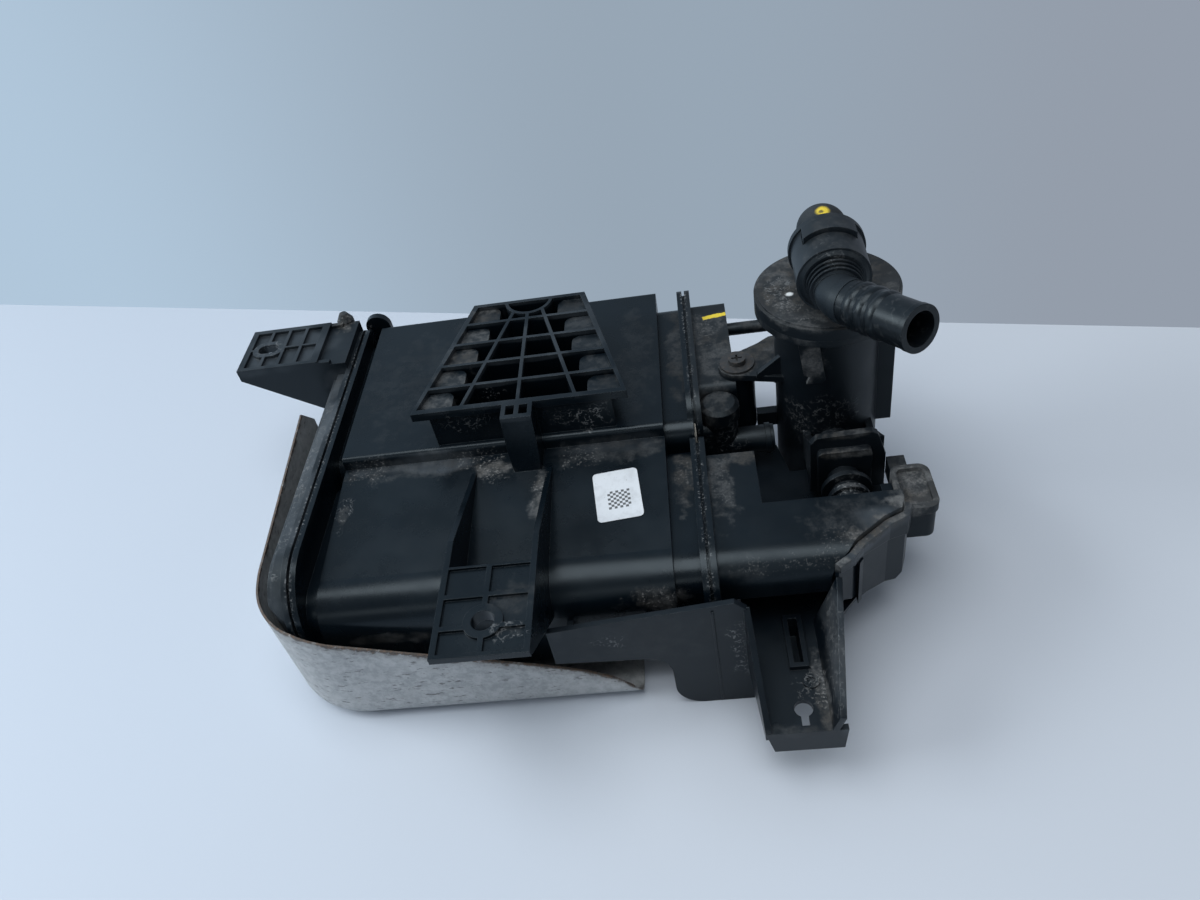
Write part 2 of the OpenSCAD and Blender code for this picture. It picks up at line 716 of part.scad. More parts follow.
// 13 push-on nuts on the shield studs
module shield_nuts() color(steel) {
    for (y = stud_y)
        translate([shield_left - 1.5, y, stud_z]) rotate([0, 90, 0]) difference() {
            cylinder(h = 1.5, r = 8);
            translate([0, 0, -1]) cylinder(h = 4, r = stud_r + 0.05);
        }
}

// 14 filter can with lug, tab, side pocket, hood and outlet pipe
module filter_can() color(grey_black) {
    hood_x0 = outlet_x - 17.5;
    hood_x1 = outlet_x + 23;
    hood_y = -20;
    difference() {
        union() {
            upright(can_x, can_y, can_low, lid_joint, can_r);
            upright(can_x, can_y, lid_joint - 4, lid_joint, lid_r);
            slab(can_x + can_r - 6, can_x + can_r + 6.5, can_y - 12, can_y + 12, 54, lid_joint - 3);
            upright(screw_x, screw_y, block_z, block_z + 4, 11);
            translate([0, 0, block_z]) linear_extrude(4)
                polygon([[screw_x + 1, screw_y - 10.9], [can_x - can_r + 6, can_y - 14], [can_x - 19, can_y],
                    [can_x - 15, can_y + 26], [can_x - 22, can_y + 27.5], [can_x - 30, can_y + 26],
                    [can_x - 37.5, can_y + 20.5], [screw_x + 1, screw_y + 10.9]]);
            along_y(screw_y - 2, screw_y + 1) polygon([[133, block_z + 1], [133, block_z - 3],
                [can_x - can_r + 3, 76], [can_x - can_r + 3, block_z + 1]]);
            slab(screw_x + 9.8, can_x - can_r + 3, screw_y - 3, screw_y + 3, 47, 57);
            along_y(4.5, 7) polygon([[151.5, lid_joint - 1], [162.4, lid_joint - 1], [166.5, 105],
                [165, 102.8],
                [156.3, 103.2], [158.3, 107.5], [155, 109.5]]);
            slab(152, 162.4, 4.5, 14, lid_joint - 5, lid_joint - 1);
            along_y(hood_y, hood_y + 4) polygon([[hood_x0, 44], [hood_x0, 80.5], [hood_x0 + 3.5, 84.6],
                [hood_x1 - 7.5, 85.6], [hood_x1 - 4.5, 83.5], [hood_x1, 69], [hood_x1, 44]]);
            along_y(hood_y - 4, hood_y + 1) round_rect(outlet_x - 14, outlet_x + 15, 44, 76.7, 3);
            for (x = [hood_x0 + 0.5, hood_x1 - 4.5])
                along_x(x, x + 4) polygon([[hood_y + 3, 45], [hood_y + 3, 79], [8, 62], [21, 62], [21, 45]]);
            translate([outlet_x, can_y - 10, outlet_z]) rotate([90, 0, 0])
                cylinder(h = can_y - 10 - duct_back, r = outlet_r);
            translate([outlet_x, duct_back + 12, outlet_z]) rotate([90, 0, 0])
                cylinder(h = 3, r = outlet_r + 3);
            translate([outlet_x, -39, outlet_z]) rotate([90, 0, 0]) cylinder(h = 3, r = outlet_r + 2.4);
            translate([outlet_x, -32, outlet_z]) rotate([90, 0, 0]) cylinder(h = 3, r = outlet_r + 4.7);
            along_y(25.5, 28.5) polygon([[131, block_z + 3], [132, block_z + 6], [150, block_z + 21],
                [153, block_z + 21],
                [153, block_z + 3]]);
        }
        upright(can_x, can_y, can_low + 3, lid_joint + 1, can_r - 2.5);
        translate([outlet_x, can_y - 9, outlet_z]) rotate([90, 0, 0])
            cylinder(h = 100, r = outlet_r - 2);
        upright(screw_x, screw_y, block_z - 1, block_z + 5, 3);
        slab(can_x + can_r - 5, can_x + can_r + 4.5, can_y - 10, can_y + 10, 57, lid_joint - 6);
    }
}

// 15 filter lid with the elbow nipple
module lid_elbow() {
    translate([can_x, can_y + elbow_back, elbow_z]) rotate([0, 0, connector_turn]) children();
}

module filter_lid() color(grey_black) {
    bore = 5.8;
    difference() {
        union() {
            upright(can_x, can_y, lid_joint, lid_z - 1.2, lid_r);
            upright(can_x, can_y, lid_z - 2, lid_z, lid_r - 1.6);
            upright(can_x, can_y + elbow_back, lid_z - 1, elbow_z, elbow_r - 0.6);
            lid_elbow() {
                sphere(elbow_r);
                rotate([90, 0, 0]) cylinder(h = 18, r = elbow_r - 0.6);
                rotate([90, 0, 0]) cylinder(h = 40, r = 8);
                translate([0, -24, 0]) rotate([90, 0, 0]) cylinder(h = 2.5, r = 9.2);
            }
        }
        upright(can_x, can_y, lid_joint - 1, lid_z - 3, can_r - 2.5);
        upright(can_x, can_y + elbow_back, lid_z - 5, elbow_z, bore);
        lid_elbow() {
            sphere(bore + 0.5);
            rotate([90, 0, 0]) cylinder(h = 60, r = bore);
        }
        difference() {
            upright(can_x, can_y, lid_joint - 1, lid_joint + 2, 34.5);
            upright(can_x, can_y, lid_joint - 2, lid_joint + 3, 31.5);
        }
    }
}

// 16 filter element, 17 and 18 ring seals
module filter_element() color(felt) difference() {
    upright(can_x, can_y, can_low + 3, lid_joint - 3, can_r - 4);
    upright(can_x, can_y, can_low + 8, lid_joint, 12);
}

module lid_seal() color(rubber_black) difference() {
    upright(can_x, can_y, lid_joint, lid_joint + 2, 34.3);
    upright(can_x, can_y, lid_joint - 1, lid_joint + 3, 31.7);
}

module outlet_seal() color(rubber_black)
    translate([outlet_x, duct_back + 6, outlet_z]) rotate([90, 0, 0]) difference() {
        cylinder(h = 4, r = outlet_r + 1.9);
        translate([0, 0, -1]) cylinder(h = 6, r = outlet_r + 0.1);
    }

// 19 quick connector: rear flange, barrel, rings and a bent barb
module barb() {
    translate([0, -barb_start, 0]) rotate([0, -barb_roll, 0])
        translate([bend_r * (1 - cos(barb_bend)), -bend_r * sin(barb_bend), 0])
            rotate([0, 0, barb_bend]) children();
}

// Bend between the connector and its barb
module barb_elbow(r) {
    translate([0, -barb_start, 0]) rotate([0, -barb_roll, 0]) translate([bend_r, 0, 0]) rotate([0, 0, 180])
        rotate_extrude(angle = barb_bend) translate([bend_r, 0]) circle(r);
}

module forward(y) {
    translate([0, -y, 0]) rotate([90, 0, 0]) children();
}

module connector_body() color(black) lid_elbow() difference() {
    tube_r = 11;
    bore = 5.8;
    union() {
        forward(18.3) cylinder(h = 3.7, r = 19.8);
        forward(21) cylinder(h = 28.5, r = collar_r);
        forward(49) cylinder(h = 2, r1 = collar_r - 0.6, r2 = collar_r - 3);
        forward(50) cylinder(h = barb_start - 49, r = tube_r + 0.5);
        barb_elbow(tube_r);
        for (i = [0 : 2])
            forward(52 + 2.6 * i) cylinder(h = 1.4, r = 14.2 - 0.6 * i);
        barb() {
            forward(-1) cylinder(h = hose_start + 1, r = tube_r + 0.5);
            forward(0) cylinder(h = hose_start + 23, r = hose_bore - 0.3);
            for (s = [5, 11, 17])
                forward(hose_start + s) cylinder(h = 3, r1 = hose_bore - 0.1, r2 = hose_bore - 0.8);
        }
    }
    forward(17) cylinder(h = 14, r = 9.6);
    forward(30) cylinder(h = 11, r = 10);
    forward(0) cylinder(h = barb_start + 0.5, r = bore + 0.4);
    barb_elbow(bore);
    barb() forward(-0.5) cylinder(h = 60, r = bore + 0.4);
    translate([-13.4, -34.4, 9.8]) cube([26.8, 10.8, 15]);
}

// 20 retainer clip on top of the connector
module connector_lock() color(black) lid_elbow() intersection() {
    translate([-13.2, -34.2, 10]) cube([26.4, 10.4, 15]);
    forward(20) cylinder(h = 20, r = 21);
}

// 21 two equal O-rings on the nipple
module connector_seals() color(rubber_black) lid_elbow() for (y = [32, 36.5])
    forward(y) difference() {
        cylinder(h = 2, r = 9.95);
        translate([0, 0, -1]) cylinder(h = 4, r = 8.05);
    }

// 22 hose stub with swells over the barb
module hose_stub() color(rubber_black) lid_elbow() barb()
    forward(hose_start) rotate_extrude() difference() {
        union() {
            translate([hose_bore, 0]) square([hose_r - hose_bore, hose_l]);
            translate([hose_bore, hose_l - 3]) square([hose_r - hose_bore + 0.3, 3]);
            for (s = [7, 14.5, 22])
                translate([hose_r - 4.2, s]) circle(5);
        }
        translate([-10, -10]) square([10 + hose_bore, hose_l + 20]);
        translate([0, -20]) square([30, 20]);
    }

// 23 and 24 lug screw and washer
module lug_screw() color(steel) difference() {
    union() {
        upright(screw_x, screw_y, 72, block_z + 6, 2.45);
        upright(screw_x, screw_y, block_z + 5.5, block_z + 8.5, 5);
    }
    slab(screw_x - 3, screw_x + 3, screw_y - 0.6, screw_y + 0.6, block_z + 6.7, block_z + 10);
    slab(screw_x - 0.6, screw_x + 0.6, screw_y - 3, screw_y + 3, block_z + 6.7, block_z + 10);
}

module lug_washer() color(steel) difference() {
    upright(screw_x, screw_y, block_z + 4, block_z + 5.5, 10);
    upright(screw_x, screw_y, block_z + 3, block_z + 7, 2.6);
}

// 25 and 26 closing valve and its plug socket
module valve_body() color(grey_black) {
    x0 = duct_right;
    difference() {
        union() {
            translate([0, 0, 45]) linear_extrude(20) round_rect(x0, x0 + 19.5, -61, -31, 5);
            translate([0, 0, 63]) linear_extrude(5.5) round_rect(x0, x0 + 20.5, -62, -30, 6);
            upright(x0 + 10, -47, 40, 46, 7);
        }
        translate([0, 0, 66]) linear_extrude(4) round_rect(x0 + 3, x0 + 17.5, -59, -33, 4);
    }
}

module valve_socket() color(black) difference() {
    slab(duct_right + 2, duct_right + 11.5, -31, -17, 51, 63);
    slab(duct_right + 4, duct_right + 9.5, -28, -16, 53, 61);
}

// 27 lower guard: panel, leg with keyhole, sloped side walls and skirt
module panel_2d() {
    arm_low = 43;
    foot_left = 70;
    right = 110;
    difference() {
        union() {
            polygon([[12, arm_low + 2], [12, 71], [104, 82], [right, 76], [right, arm_low - 5],
                [foot_left, arm_low - 5],
                [foot_left - 16, arm_low]]);
            translate([foot_left + 15, 0]) square([right - foot_left - 15, 60]);
            translate([foot_left, 15]) square([30, 45]);
            translate([foot_left + 15, 15]) circle(15);
            translate([foot_left - 14, arm_low - 14]) square([15, 15]);
        }
        translate([foot_left - 14, arm_low - 14]) circle(14);
    }
}

module leg_floor_2d() {
    polygon(concat([[114, leg_front], [148, leg_front], [150, -110]],
        [for (i = [2 : rim_last]) rim_side(0.3)[i]],
        [[duct_right + 0.5, -62], [duct_right + 3, -55], [duct_right + 3, 4], [146, 4], [141, 28],
        [121, 28], [121, -10], [108, -10], [108, panel_front]]));
}

module guard_bracket() color(grey_black) {
    difference() {
        union() {
            along_y(panel_front, panel_front + guard_t) panel_2d();
            for (x = [20, 60])
                slab(x, x + guard_t, panel_front + 1, lobe_front, 47, 60);
            slab(92.6, 93.8, panel_front - 0.8, panel_front + 1, 3, 77);
            translate([0, 0, leg_z - guard_t]) linear_extrude(guard_t) leg_floor_2d();
            along_y(leg_front, leg_front + guard_t)
                polygon([[112, leg_z], [115.7, 22], [148.5, 22], [150, leg_z]]);
            left_wall();
            right_wall();
            skirt();
            upright(140, -72, leg_z - 1, outlet_z - 15, 5);
            slab(127.5, 137, -132, -101, leg_z - 1, leg_z + 3);
            upright(136.6, -139, leg_z - 1, leg_z + 1.2, 4);
        }
        upright(131, -153, leg_z - 10, leg_z + 10, key_d / 2);
        slab(129.2, 132.8, -162, -153, leg_z - 10, leg_z + 10);
        slab(130, 134.5, -129.5, -103.5, leg_z - 10, leg_z + 10);
        upright(136.6, -139, leg_z + 0.2, leg_z + 3, 2);
    }
}

// Left wall of the leg, a gusset that falls to the front
module left_wall() {
    reach = panel_front - leg_front;
    translate([108, panel_front, 0]) rotate([0, 0, 5]) along_x(0, guard_t)
        polygon([[1, 77], [1, leg_z - 10], [-reach, leg_z - 5], [-reach, leg_z + 1]]);
}

// Right wall of the leg, leaning outwards
module right_wall() {
    translate([142.5, leg_front, leg_z]) rotate([0, 0, -0.5]) rotate([0, 18, 0]) along_x(0, guard_t)
        polygon([[0, -8], [0, 11], [61.5, 36], [61.5, -8]]);
}

// Skirt outside the duct's cut-off corner, with a lip along its top and one rib
module rim_band(t0, t1, z0, z1) {
    inner = rim_side(t1);
    translate([0, 0, z0]) linear_extrude(z1 - z0)
        polygon(concat(rim_side(t0), [for (i = [rim_last : -1 : 0]) inner[i]]));
}

module skirt() {
    rim_z = 80;
    intersection() {
        rim_band(-1.2, 1.2, 25, rim_z);
        along_y(-120, -55) polygon([[150, 52], [159, 50], [171.6, 38.5], [duct_right - 4, 31.5],
            [duct_right + 3, 38],
            [duct_right + 3, 90], [150, 90]]);
    }
    intersection() {
        rim_band(-2.4, 0, 60, rim_z);
        along_y(-120, -55) polygon([[150, 77], [duct_right + 4, 65], [duct_right + 4, 90], [150, 90]]);
    }
    intersection() {
        rim_band(-3.2, 0, 40, 72);
        slab(166.5, 168.8, -120, -70, 40, 72);
    }
}

// 28 bare label on the sloped front lobe
module label() color([0.85, 0.86, 0.86])
    translate([49.8, ridge_y, front_lobe_z]) rotate([front_lobe_slope, 0, 0])
        translate([0, -31, 0]) rotate([0, 0, 5.6]) linear_extrude(0.25)
            round_rect(-12.2, 12.2, -16.7, 16.7, 2.5);

housing();
left_cap();
port_cover();
drain_cover();
rear_carbon_bed();
front_carbon_bed();
rear_screens();
front_screens();
rear_pressure_plate();
front_pressure_plate();
bed_springs();
heat_shield();
shield_nuts();
filter_can();
filter_lid();
filter_element();
lid_seal();
outlet_seal();
connector_body();
connector_lock();
connector_seals();
hose_stub();
lug_screw();
lug_washer();
valve_body();
valve_socket();
guard_bracket();
label();
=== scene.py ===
"""Looks, light and camera for the charcoal canister. Metres, in the frame of the solids."""
import json
from math import cos, pi, radians, sin

import bmesh
import bpy
from mathutils import Matrix, Vector


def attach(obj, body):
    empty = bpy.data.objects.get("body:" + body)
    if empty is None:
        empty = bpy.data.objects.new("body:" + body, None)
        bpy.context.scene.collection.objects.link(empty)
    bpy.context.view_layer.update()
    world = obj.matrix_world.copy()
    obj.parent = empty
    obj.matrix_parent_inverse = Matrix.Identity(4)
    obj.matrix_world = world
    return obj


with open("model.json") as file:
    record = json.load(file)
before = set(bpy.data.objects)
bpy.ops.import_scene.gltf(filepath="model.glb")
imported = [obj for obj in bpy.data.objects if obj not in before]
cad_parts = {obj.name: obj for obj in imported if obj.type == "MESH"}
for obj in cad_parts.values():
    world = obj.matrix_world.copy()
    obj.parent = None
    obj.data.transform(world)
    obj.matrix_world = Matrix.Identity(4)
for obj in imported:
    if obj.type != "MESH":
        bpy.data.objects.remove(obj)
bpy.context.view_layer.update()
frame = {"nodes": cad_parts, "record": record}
nodes = frame["nodes"]
scene = bpy.context.scene
scene.view_settings.view_transform = "Standard"

MM = 0.001

# colours, linear
BLACK = (0.0012, 0.0032, 0.0054)
FILTER_BLACK = (0.0030, 0.0048, 0.0070)
GUARD_BLACK = (0.0018, 0.0038, 0.0064)
CONNECTOR_BLACK = (0.0050, 0.0076, 0.0104)
RUBBER = (0.0030, 0.0048, 0.0068)
DUST = (0.122, 0.124, 0.124)
MUD = (0.078, 0.071, 0.063)
# painted sheen: pale bluish colour standing in for reflected light on ridges, rims and rib tops
PAINTED_SHEEN = (0.100, 0.116, 0.132)
CRUMB = (0.26, 0.26, 0.255)
SCUFF = (0.20, 0.208, 0.212)
PAINT_YELLOW = (0.70, 0.53, 0.045)
PAINT_WHITE = (0.70, 0.73, 0.74)
SHEET_GREY = (0.315, 0.330, 0.338)
SHEET_PALE = (0.47, 0.485, 0.49)
SHEET_BARE = (0.50, 0.515, 0.52)
SHEET_NICK = (0.075, 0.073, 0.072)
SHEET_STAIN = (0.12, 0.105, 0.09)
RUST_DARK = (0.045, 0.035, 0.028)
RUST_BROWN = (0.11, 0.062, 0.036)
STEEL = (0.060, 0.062, 0.064)
STEEL_RUST = (0.046, 0.038, 0.032)
LABEL_WHITE = (0.610, 0.645, 0.680)
LABEL_GREY = (0.46, 0.485, 0.51)
LABEL_EDGE = (0.36, 0.37, 0.38)
LABEL_INK = (0.03, 0.032, 0.034)
CARBON_GRAIN = (0.022, 0.022, 0.022)
CARBON_GAP = (0.006, 0.006, 0.006)
FELT_DARK = (0.42, 0.40, 0.35)
FELT_PALE = (0.56, 0.54, 0.49)


def metres(lengths_mm):
    return tuple(length * MM for length in lengths_mm)


# camera

# the camera's right, down and forward directions
VIEW_RIGHT = Vector((0.98748, 0.01098, -0.15739))
VIEW_DOWN = Vector((-0.10722, -0.68513, -0.72049))
VIEW_FORWARD = Vector((-0.11574, 0.72834, -0.67537))
VIEW_PLACE = Vector((0.100, -0.390, 0.437))
SENSOR_WIDTH = 36.0
LENS = 27.9
NEAREST = 0.01
FARTHEST = 20.0


def add_camera():
    """The photograph's view, fitted to the solids."""
    data = bpy.data.cameras.new("camera")
    data.sensor_width = SENSOR_WIDTH
    data.lens = LENS
    data.clip_start = NEAREST
    data.clip_end = FARTHEST
    camera = bpy.data.objects.new("camera", data)
    scene.collection.objects.link(camera)
    turn = Matrix((VIEW_RIGHT, -VIEW_DOWN, -VIEW_FORWARD)).transposed()
    camera.matrix_world = Matrix.Translation(VIEW_PLACE) @ turn.to_4x4()
    scene.camera = camera


# shader graphs

# vector operations whose result is a number
SCALAR_RESULTS = ("DOT_PRODUCT", "LENGTH")

# a patch of dirt is whole within the first share of its half sizes and gone at the second
PATCH_FADE = (0.45, 1.05)
PATCH_RAGGEDNESS = 2.6

# a brush stroke's wobble as a share of its half width, and the softness of its edge in mm
STROKE_WOBBLE = 1.6
STROKE_SOFT = 0.4

# how far the rounded normal turns from the flat one at the start and end of an edge's band of wear
# and painted highlight
EDGE_TURN = (0.02, 0.16)
BEVEL_SAMPLES = 4


class Graph:
    """A node tree. A value is a number, a colour or the socket of an earlier node."""

    def __init__(self, owner):
        owner.use_nodes = True
        self.tree = owner.node_tree

    def add(self, kind, **settings):
        node = self.tree.nodes.new(kind)
        for key, value in settings.items():
            setattr(node, key, value)
        return node

    def feed(self, socket, value):
        if isinstance(value, bpy.types.NodeSocket):
            self.tree.links.new(value, socket)
        elif isinstance(value, tuple) and len(value) == 3 and socket.type == "RGBA":
            socket.default_value = (*value, 1.0)
        else:
            socket.default_value = value

    def math(self, operation, a, b=0.0, clamp=False):
        node = self.add("ShaderNodeMath", operation=operation, use_clamp=clamp)
        self.feed(node.inputs[0], a)
        self.feed(node.inputs[1], b)
        return node.outputs[0]

    def times(self, first, *others):
        for other in others:
            first = self.math("MULTIPLY", first, other)
        return first

    def most(self, first, *others):
        for other in others:
            first = self.math("MAXIMUM", first, other)
        return first

    def vector(self, operation, a, b=(0.0, 0.0, 0.0)):
        node = self.add("ShaderNodeVectorMath", operation=operation)
        self.feed(node.inputs[0], a)
        self.feed(node.inputs[1], b)
        return node.outputs["Value" if operation in SCALAR_RESULTS else "Vector"]

    def fade(self, value, low, high, from_value=0.0, to_value=1.0):
        """Smooth step of value from low to high."""
        node = self.add("ShaderNodeMapRange", interpolation_type="SMOOTHSTEP")
        self.feed(node.inputs["Value"], value)
        self.feed(node.inputs["From Min"], low)
        self.feed(node.inputs["From Max"], high)
        self.feed(node.inputs["To Min"], from_value)
        self.feed(node.inputs["To Max"], to_value)
        return node.outputs["Result"]

    def mix(self, share, a, b):
        node = self.add("ShaderNodeMix", data_type="RGBA")
        self.feed(node.inputs["Factor"], share)
        self.feed(node.inputs["A"], a)
        self.feed(node.inputs["B"], b)
        return node.outputs["Result"]

    def split(self, value, index):
        node = self.add("ShaderNodeSeparateXYZ")
        self.feed(node.inputs[0], value)
        return node.outputs[index]


class Surface(Graph):
    """A material's node tree."""

    def __init__(self, name):
        self.material = bpy.data.materials.new(name)
        super().__init__(self.material)
        self.shader = self.tree.nodes["Principled BSDF"]
        self.place = self.add("ShaderNodeTexCoord").outputs["Object"]
        self.facing = self.add("ShaderNodeNewGeometry").outputs["Normal"]

    def noise(self, per_metre, detail=4.0, roughness=0.55, stretch=(1.0, 1.0, 1.0)):
        """Noise about 0.5, with per_metre as its scale and a factor on it along each axis."""
        node = self.add("ShaderNodeTexNoise")
        self.feed(node.inputs["Vector"], self.vector("MULTIPLY", self.place, stretch))
        self.feed(node.inputs["Scale"], per_metre)
        self.feed(node.inputs["Detail"], detail)
        self.feed(node.inputs["Roughness"], roughness)
        return node.outputs["Fac"]

    def cells(self, per_metre):
        """Node of scattered cells, with the distance from each centre and a random colour."""
        node = self.add("ShaderNodeTexVoronoi")
        self.feed(node.inputs["Vector"], self.place)
        self.feed(node.inputs["Scale"], per_metre)
        return node

    def upward(self):
        """1 on faces that look up, 0 on walls, -1 on undersides."""
        return self.split(self.facing, 2)

    def patch(self, centre_mm, half_mm, ragged, raggedness=PATCH_RAGGEDNESS):
        """1 within an ellipsoid, fading to 0 at its ragged edge."""
        offset = self.vector("SUBTRACT", self.place, metres(centre_mm))
        offset = self.vector("MULTIPLY", offset, tuple(1.0 / (h * MM) for h in half_mm))
        wobble = self.times(self.math("SUBTRACT", ragged, 0.5), raggedness)
        reach = self.math("ADD", self.vector("LENGTH", offset), wobble)
        return self.fade(reach, *PATCH_FADE, 1.0, 0.0)

    def settled(self, marks, kind, ragged):
        """The strongest of the marks of one kind at each point, or None."""
        result = None
        for mark_kind, centre, half, strength in marks:
            if mark_kind == kind:
                here = self.times(self.patch(centre, half, ragged), strength)
                result = here if result is None else self.most(result, here)
        return result

    def bar(self, centre_mm, ahead, half_length_mm, half_width_mm, ragged):
        """1 on a brush stroke in the horizontal plane."""
        offset = self.vector("SUBTRACT", self.place, metres(centre_mm))
        ahead = Vector(ahead).normalized()
        aside = Vector((-ahead.y, ahead.x, 0.0))
        wobble = self.times(self.math("SUBTRACT", ragged, 0.5), STROKE_WOBBLE * half_width_mm * MM)
        shares = []
        for direction, half in ((ahead, half_length_mm), (aside, half_width_mm)):
            reach = self.math("ABSOLUTE", self.vector("DOT_PRODUCT", offset, tuple(direction)))
            reach = self.math("ADD", reach, wobble)
            ends = metres((half - STROKE_SOFT, half + STROKE_SOFT))
            shares.append(self.fade(reach, *ends, 1.0, 0.0))
        return self.times(*shares)

    def hairlines(self, per_metre, width):
        """1 on broken, winding hairlines."""
        curve = self.math("ABSOLUTE", self.math("SUBTRACT", self.noise(per_metre, 2, 0.5), 0.5))
        broken = self.fade(self.noise(1.7 * per_metre, 3), 0.46, 0.56)
        return self.times(self.fade(curve, 0.3 * width, width, 1.0, 0.0), broken)

    def rounded(self, radius_mm):
        """Normal of the surface with its edges rounded off."""
        bevel = self.add("ShaderNodeBevel", samples=BEVEL_SAMPLES)
        self.feed(bevel.inputs["Radius"], radius_mm * MM)
        return bevel.outputs[0]

    def edges(self, radius_mm):
        """1 along outer and inner edges, from the rounded normal."""
        along = self.vector("DOT_PRODUCT", self.rounded(radius_mm), self.facing)
        return self.fade(self.math("SUBTRACT", 1.0, along), *EDGE_TURN)

    def relief(self, *layers, edge_mm=0.5):
        """Normal with rounded edges and bumps; a layer is (height value, depth in mm)."""
        normal = self.rounded(edge_mm)
        for height, depth_mm in layers:
            bump = self.add("ShaderNodeBump")
            self.feed(bump.inputs["Strength"], 1.0)
            self.feed(bump.inputs["Distance"], depth_mm * MM)
            self.feed(bump.inputs["Height"], height)
            self.feed(bump.inputs["Normal"], normal)
            normal = bump.outputs[0]
        self.feed(self.shader.inputs["Normal"], normal)

    def finish(self, tone, roughness, metallic=0.0, gloss=0.5, tint=(1.0, 1.0, 1.0)):
        """Sets the shader and returns the material."""
        self.feed(self.shader.inputs["Base Color"], tone)
        self.feed(self.shader.inputs["Roughness"], roughness)
        self.feed(self.shader.inputs["Metallic"], metallic)
        self.feed(self.shader.inputs["Specular IOR Level"], gloss)
        self.feed(self.shader.inputs["Specular Tint"], tint)
        return self.material


# what has settled on the plastic pieces, and the sheen painted on them

# blocks in the lattice's outer cells, in mm: the first row's y and its distance from the middle,
# the step of both from row to row, and the height of the tops
BLOCK_ROWS = 5
BLOCK_Y = 4.75
BLOCK_PITCH = 19.5
BLOCK_X = 46.0
BLOCK_TAPER = 5.0
BLOCK_TOP = 117


def block_marks():
    """Dust on the blocks in the lattice's outer cells, thicker on the left ones."""
    marks = []
    for row in range(BLOCK_ROWS):
        y = BLOCK_Y + BLOCK_PITCH * row
        x = BLOCK_X - BLOCK_TAPER * row
        marks.append(("film", (-x, y, BLOCK_TOP), (16, 10, 8), 0.55))
        marks.append(("film", (x, y, BLOCK_TOP), (14, 10, 8), 0.22))
    return tuple(marks)
